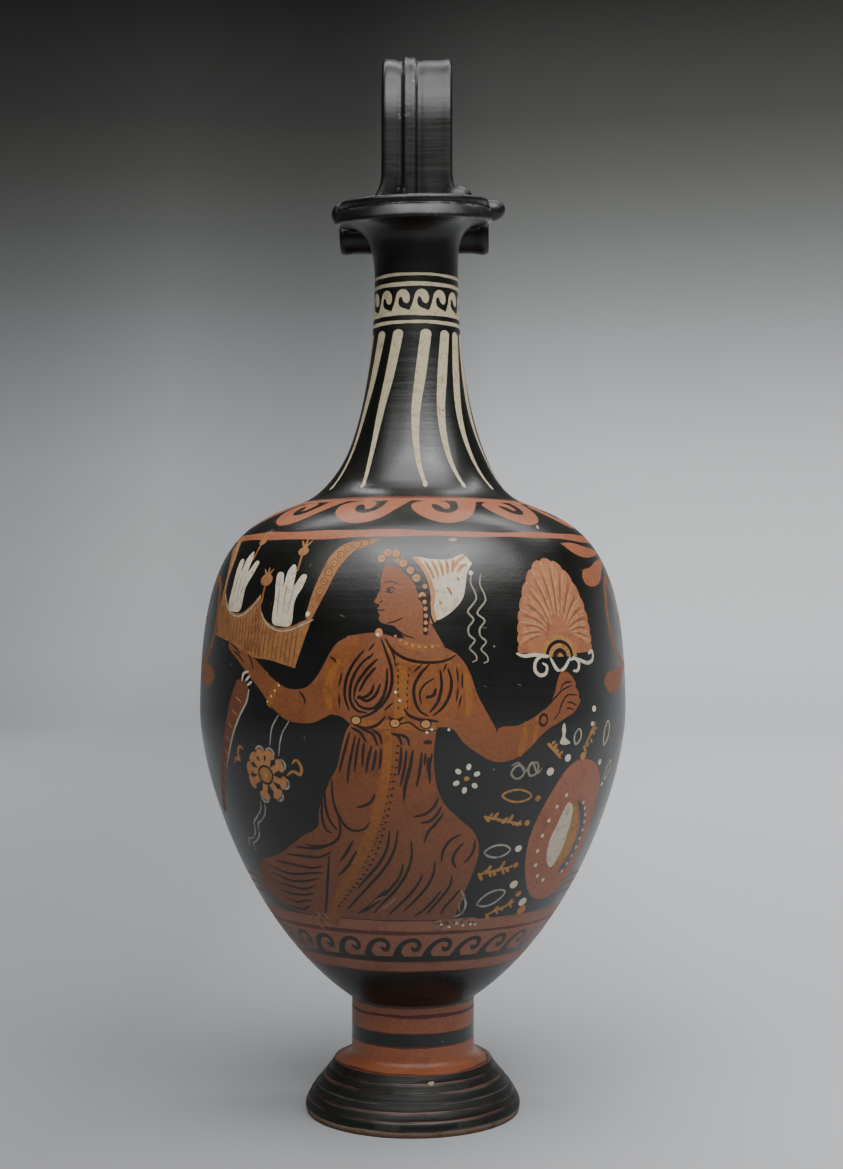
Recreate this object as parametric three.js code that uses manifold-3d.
// Red-figure jug, in millimetres. It stands on the plane z = 0 with the axis of its bowl on the
// z axis. The painted front faces -Y, and the tall strap handle rises behind the mouth, at +Y.
// The jug was thrown, joined up while damp and fired, so all of it is one piece of clay.

import * as THREE from 'three';
import { mergeVertices } from 'three/addons/utils/BufferGeometryUtils.js';
import Module from 'manifold-3d';

const wasm = await Module();
wasm.setup();

// Foot: a ribbed cone on a flat resting ring, hollow underneath, with a short collar and stem
const restRadius = 39.4;
const restWidth = 8;
const footTopRadius = 29;
const footHeight = 19.4;
const footBow = 2.3;
const ribCount = 5;
const ribBulge = 0.75;
const collarHeight = 4.1;
const stemRadius = 22.8;
const stemHeight = 18.8;
const stemWall = 7.6;
const floorThickness = 8.5;
const ceilingRound = 2;

// Bowl: the belly opens from the stem, is widest above its middle and closes in a round shoulder
const bellyRadius = 79.3;
const bellyRise = 107.3;
const bellyFlare = 46.1;
const bellyFlareSlope = 34.3;
const bellyTurn = 24;
const shoulderRise = 76.2;
const shoulderTurn = 61.3;
const shoulderPull = 23.4;
const shoulderSlope = 20.4;
const bowlWall = 4.6;

// Neck: long and narrow, concave all the way, narrowest close under the mouth
const neckRootRadius = 41.5;
const neckRadius = 15.7;
const neckRise = 85.2;
const neckRootPull = 22.3;
const neckRootSlope = 21.5;
const neckTopPull = 29.3;
const neckWall = 3.4;
const neckLean = 1.3;
const leanRise = 20;
const leanReturn = 0.75;

// Mouth: a flared disc with a band and a thin lip; it dips forward and a little to one side
const flareRise = 20.2;
const flareWaist = 17;
const flareSpread = 9.6;
const rimRadius = 29.6;
const bandHeight = 5.2;
const bandTaper = 1.6;
const grooveDepth = 0.8;
const grooveHeight = 0.9;
const lipHeight = 2.6;
const lipWidth = 1.5;
const funnelDepth = 26;
const funnelTurn = 9;
const mouthDip = 7;
const mouthRoll = 1.6;

// Handle: a ribbed strap from the back of the mouth, up in a loop and down to the shoulder
const strapWidth = 28;
const strapThickness = 5;
const strapEdge = 1.6;
const strapOffset = 1.4;
const fluteDepth = 0.6;
const ribWidth = 6.4;
const ribHeight = 1.7;
const ribOffset = -2.6;
const rootDistance = 26.2;
const loopDistance = 74.2;
const legRise = 36.8;
const loopRise = 29.4;
const backBow = 42;
const landingDistance = 57;
const landingDrop = 34;
const landingSink = 3.4;
const rootSpread = 4.5;
const rootSpreadHeight = 22;

// Knobs on both sides of the mouth, the roll under its back and a pellet beside the strap
const knobs = [
  { side: -1, reach: 2.9, width: 7.6, height: 9.4, depth: 8.2 },
  { side: 1, reach: 6.6, width: 11, height: 8.8, depth: 9.4 },
];
const knobAngle = 16;
const knobDrop = 3.4;
const rollRadius = 7;
const rollLength = 58;
const rollDistance = 22.4;
const rollDrop = 2.4;
const pelletWidth = 10;
const pelletHeight = 8.4;
const pelletDistance = 18.5;
const pelletSide = 17.5;

// Fineness of the round surfaces
const turnSteps = 44;
const strapSteps = 32;
const mergeDistance = 1e-4;
const overshoot = 4;

// Pull that bends a curve into a quarter of a circle, as a share of the radius
const quarterPull = 0.5523;

// Levels that follow from the sizes above
const stemLevel = footHeight + collarHeight;
const bowlLevel = stemLevel + stemHeight;
const bellyLevel = bowlLevel + bellyRise;
const neckLevel = bellyLevel + shoulderRise;
const neckTop = neckLevel + neckRise;
const rimLevel = neckTop + flareRise;
const bandTop = rimLevel + bandHeight;
const lipTop = bandTop + grooveHeight + lipHeight;

const radians = THREE.MathUtils.degToRad;
const smooth = THREE.MathUtils.smoothstep;

// A stretch of outline in (radius, height) between two points, bent by a pull at each end
function curve(start, startPull, endPull, end) {
  return new THREE.CubicBezierCurve(start, start.clone().add(startPull), end.clone().add(endPull), end);
}

// A pull of the given length that leaves at an angle above the level
function pull(length, angle) {
  return new THREE.Vector2(Math.cos(radians(angle)), Math.sin(radians(angle))).multiplyScalar(length);
}

const point = (radius, height) => new THREE.Vector2(radius, height);

// Free curves of the bowl and neck, from the stem upward
const lowerBelly = curve(
  point(stemRadius, bowlLevel),
  pull(bellyFlare, bellyFlareSlope),
  point(0, -bellyTurn),
  point(bellyRadius, bellyLevel),
);
const shoulder = curve(
  point(bellyRadius, bellyLevel),
  point(0, shoulderTurn),
  pull(shoulderPull, -shoulderSlope),
  point(neckRootRadius, neckLevel),
);
const neck = curve(
  point(neckRootRadius, neckLevel),
  pull(neckRootPull, 180 - neckRootSlope),
  point(0, -neckTopPull),
  point(neckRadius, neckTop),
);
const flare = curve(
  point(neckRadius, neckTop),
  point(0, flareWaist),
  point(-flareSpread, 0),
  point(rimRadius, rimLevel),
);

// The ribbed side of the foot: round ribs along a slightly bowed cone
function footSide() {
  const cone = curve(
    point(restRadius, 0),
    point(footBow, footHeight / 3),
    point((restRadius - footTopRadius) / 2 - footBow, -footHeight / 3),
    point(footTopRadius, footHeight),
  );
  const stepsPerRib = 3;
  const side = [];
  for (let step = 0; step <= ribCount * stepsPerRib; step += 1) {
    const along = step / (ribCount * stepsPerRib);
    const swell = ribBulge * Math.sin((Math.PI * (step % stepsPerRib)) / stepsPerRib);
    const spot = cone.getPoint(along);
    const tangent = cone.getTangent(along);
    side.push(point(spot.x + tangent.y * swell, spot.y - tangent.x * swell));
  }
  return side;
}

// The hollow collar between the ribbed side and the stem
function collar() {
  const hollow = curve(
    point(footTopRadius, footHeight),
    point(-(footTopRadius - stemRadius) / 1.5, 0),
    point(0, -collarHeight / 1.5),
    point(stemRadius, stemLevel),
  );
  return hollow.getPoints(4).slice(1);
}

// The band, groove and lip of the mouth, from the edge of the flared disc to the middle
function rim() {
  const bandRadius = rimRadius - bandTaper;
  return [
    point(bandRadius, bandTop),
    point(bandRadius - grooveDepth, bandTop + grooveHeight / 2),
    point(bandRadius - grooveDepth / 4, bandTop + grooveHeight),
    point(bandRadius, bandTop + grooveHeight + lipHeight / 2),
    point(bandRadius - lipWidth / 2, lipTop),
    point(0, lipTop),
  ];
}

// Moves a stretch of the outer outline inward by the thickness of the wall
function inside(outline, steps, wallBelow, wallAbove) {
  const wall = [];
  for (let step = 0; step <= steps; step += 1) {
    const along = step / steps;
    const spot = outline.getPoint(along);
    const tangent = outline.getTangent(along);
    const thickness = THREE.MathUtils.lerp(wallBelow, wallAbove, along);
    wall.push(point(spot.x - tangent.y * thickness, spot.y + tangent.x * thickness));
  }
  return wall;
}

// The outer surface, filled solid, from the middle of the underside to the middle of the mouth
function outerOutline() {
  return [
    point(0, 0),
    ...footSide(),
    ...collar(),
    ...lowerBelly.getPoints(9),
    ...shoulder.getPoints(9).slice(1),
    ...neck.getPoints(7).slice(1),
    ...flare.getPoints(5).slice(1),
    ...rim(),
  ];
}

// The hollow of the bowl and neck, open at the mouth
function cavityOutline() {
  const boreRadius = neckRadius - neckWall;
  const mouthRadius = rimRadius - bandTaper - lipWidth;
  const floor = point(0, bowlLevel + bowlWall);
  const bowl = inside(lowerBelly, 8, bowlWall, bowlWall).filter((spot) => spot.y > floor.y);
  const funnel = curve(
    point(boreRadius, lipTop - funnelDepth),
    point(0, funnelTurn),
    point(-(mouthRadius - boreRadius) / 6, -funnelDepth / 3),
    point(mouthRadius, lipTop),
  );
  return [
    floor,
    point(bowl[0].x / 2, floor.y),
    ...bowl,
    ...inside(shoulder, 7, bowlWall, bowlWall).slice(1),
    ...inside(neck, 5, bowlWall, neckWall).slice(1, -1),
    ...funnel.getPoints(4),
    point(mouthRadius, lipTop + overshoot),
    point(0, lipTop + overshoot),
  ];
}

// The hollow under the foot
function footHollowOutline() {
  const entryRadius = restRadius - restWidth;
  const innerRadius = stemRadius - stemWall;
  const ceiling = bowlLevel + bowlWall - floorThickness;
  const side = curve(
    point(entryRadius, 0),
    point(-(entryRadius - innerRadius) / 3, stemLevel / 3),
    point(0, -stemLevel / 3),
    point(innerRadius, stemLevel),
  );
  return [
    point(0, -overshoot),
    point(entryRadius, -overshoot),
    ...side.getPoints(3),
    point(innerRadius, ceiling - ceilingRound),
    point(innerRadius - ceilingRound, ceiling),
    point(0, ceiling),
  ];
}

// The neck leans a little to the right, and the mouth dips and rolls with everything on it
function settle(spot) {
  const away = smooth(spot.z, neckLevel, neckLevel + leanRise);
  const back = leanReturn * smooth(spot.z, neckTop, rimLevel);
  const dip = smooth(spot.z, neckTop + flareRise / 2, rimLevel);
  const drop = spot.y * Math.tan(radians(mouthDip)) + spot.x * Math.tan(radians(mouthRoll));
  return new THREE.Vector3(spot.x + neckLean * (away - back), spot.y, spot.z + dip * drop);
}

// Moves each corner of a geometry by a function of its place
function reshape(geometry, move) {
  const corners = geometry.attributes.position;
  for (let index = 0; index < corners.count; index += 1) {
    const moved = move(new THREE.Vector3().fromBufferAttribute(corners, index));
    corners.setXYZ(index, moved.x, moved.y, moved.z);
  }
  return geometry;
}

// A closed geometry as a solid that can be joined and cut
function solid(geometry) {
  geometry.deleteAttribute('normal');
  geometry.deleteAttribute('uv');
  const merged = mergeVertices(geometry, mergeDistance);
  const corners = merged.index.array;
  const triangles = [];
  for (let index = 0; index < corners.length; index += 3) {
    const [a, b, c] = corners.slice(index, index + 3);
    if (a !== b && b !== c && c !== a) {
      triangles.push(a, b, c);
    }
  }
  return new wasm.Manifold(new wasm.Mesh({
    numProp: 3,
    vertProperties: merged.attributes.position.array,
    triVerts: new Uint32Array(triangles),
  }));
}

// An outline turned about the z axis
function turned(outline) {
  const geometry = new THREE.LatheGeometry(outline, turnSteps);
  geometry.rotateX(Math.PI / 2);
  return solid(reshape(geometry, settle));
}

// Height of the shoulder's surface at a distance from the axis
function shoulderHeight(distance) {
  let below = 0;
  let above = 1;
  for (let round = 0; round < 40; round += 1) {
    const middle = (below + above) / 2;
    if (shoulder.getPoint(middle).x > distance) {
      below = middle;
    } else {
      above = middle;
    }
  }
  return shoulder.getPoint(below).y;
}

// The middle line of the strap, from inside the roll up over the loop and down into the shoulder
function strapLine() {
  const at = (distance, height) => new THREE.Vector3(strapOffset, distance, height);
  const legTop = lipTop + legRise;
  const crown = legTop + loopRise;
  const loopMiddle = (rootDistance + loopDistance) / 2;
  const reach = (loopDistance - rootDistance) / 2;
  const landing = shoulderHeight(landingDistance) - landingSink;
  const line = new THREE.CurvePath();
  line.add(new THREE.CubicBezierCurve3(
    at(rollDistance, rimLevel - rollDrop),
    at(rollDistance + 1, rimLevel + bandHeight / 2),
    at(rootDistance, bandTop),
    at(rootDistance, lipTop + rootSpreadHeight / 2),
  ));
  line.add(new THREE.LineCurve3(at(rootDistance, lipTop + rootSpreadHeight / 2), at(rootDistance, legTop)));
  line.add(new THREE.CubicBezierCurve3(
    at(rootDistance, legTop),
    at(rootDistance, legTop + loopRise * quarterPull),
    at(loopMiddle - reach * quarterPull, crown),
    at(loopMiddle, crown),
  ));
  line.add(new THREE.CubicBezierCurve3(
    at(loopMiddle, crown),
    at(loopMiddle + reach * quarterPull, crown),
    at(loopDistance, legTop + loopRise * quarterPull),
    at(loopDistance, legTop),
  ));
  line.add(new THREE.CubicBezierCurve3(
    at(loopDistance, legTop),
    at(loopDistance, legTop - backBow),
    at(landingDistance + landingDrop / 3, landing + landingDrop),
    at(landingDistance, landing),
  ));
  return line;
}

// Section of the strap: across it to the right, and outward; the ribbed face is the outer one
function strapSection() {
  const half = strapWidth / 2;
  const face = strapThickness / 2;
  const across = [
    [-half, 0],
    [-half + strapEdge / 2, face - strapEdge / 3],
    [-half + strapEdge, face],
    [ribOffset - ribWidth, face - fluteDepth],
    [ribOffset - ribWidth / 2, face],
    [ribOffset - ribWidth / 4, face + ribHeight],
    [ribOffset + ribWidth / 4, face + ribHeight],
    [ribOffset + ribWidth / 2, face],
    [ribOffset + ribWidth, face - fluteDepth],
    [half - ribWidth / 2, face - fluteDepth],
    [half - strapEdge, face],
    [half - strapEdge / 2, face - strapEdge / 3],
    [half, 0],
    [half - strapEdge, -face],
    [-half + strapEdge, -face],
  ];
  return new THREE.Shape(across.map(([right, outward]) => new THREE.Vector2(-right, outward)));
}

// The strap, spread where it grows out of the mouth
function strap() {
  const geometry = new THREE.ExtrudeGeometry(strapSection(), {
    steps: strapSteps,
    extrudePath: strapLine(),
    bevelEnabled: false,
  });
  const loopMiddle = (rootDistance + loopDistance) / 2;
  return solid(reshape(geometry, (spot) => {
    if (spot.y > loopMiddle) {
      return spot;
    }
    const spread = 1 - smooth(spot.z, lipTop, lipTop + rootSpreadHeight);
    const share = (spot.x - strapOffset) / (strapWidth / 2);
    return spot.setX(spot.x + rootSpread * spread * spread * share);
  }));
}

// A rounded knob at one side of the mouth
function knob({ side, reach, width, height, depth }) {
  const geometry = new THREE.SphereGeometry(0.5, 12, 8);
  geometry.rotateX(Math.PI / 2);
  geometry.scale(width, depth, height);
  geometry.translate(rimRadius + reach - width / 2, 0, lipTop - knobDrop);
  geometry.rotateZ(radians(side > 0 ? knobAngle : 180 - knobAngle));
  return solid(reshape(geometry, settle));
}

// The roll under the back of the mouth
function roll() {
  const geometry = new THREE.CapsuleGeometry(rollRadius, rollLength - 2 * rollRadius, 4, 14);
  geometry.rotateZ(Math.PI / 2);
  geometry.translate(0, rollDistance, rimLevel - rollDrop);
  return solid(reshape(geometry, settle));
}

// The pellet on the lip beside the strap
function pellet() {
  const geometry = new THREE.SphereGeometry(0.5, 10, 8);
  geometry.scale(pelletWidth, pelletWidth, pelletHeight);
  geometry.translate(pelletSide, pelletDistance, lipTop);
  return solid(reshape(geometry, settle));
}

// The whole jug: solid parts joined, then hollowed
function jugBody() {
  const cavity = turned(cavityOutline());
  const pot = turned(outerOutline()).subtract(cavity).subtract(turned(footHollowOutline()));
  const bowlOnly = cavity.trimByPlane([0, 0, -1], -neckTop);
  const fittings = [strap().subtract(bowlOnly), roll(), pellet(), ...knobs.map(knob)];
  return fittings.reduce((joined, fitting) => joined.add(fitting), pot);
}

// The finished solid as a three.js mesh
function meshOf(name, body, material) {
  const { vertProperties, triVerts } = body.getMesh();
  const geometry = new THREE.BufferGeometry();
  geometry.setAttribute('position', new THREE.BufferAttribute(vertProperties, 3));
  geometry.setIndex(new THREE.BufferAttribute(triVerts, 1));
  geometry.computeVertexNormals();
  const mesh = new THREE.Mesh(geometry, material);
  mesh.name = name;
  return mesh;
}

const blackSlip = new THREE.MeshStandardMaterial({ color: 0x1c1d1b, roughness: 0.3, metalness: 0 });

const model = new THREE.Group();
model.add(meshOf('jug', jugBody(), blackSlip));

export default model;
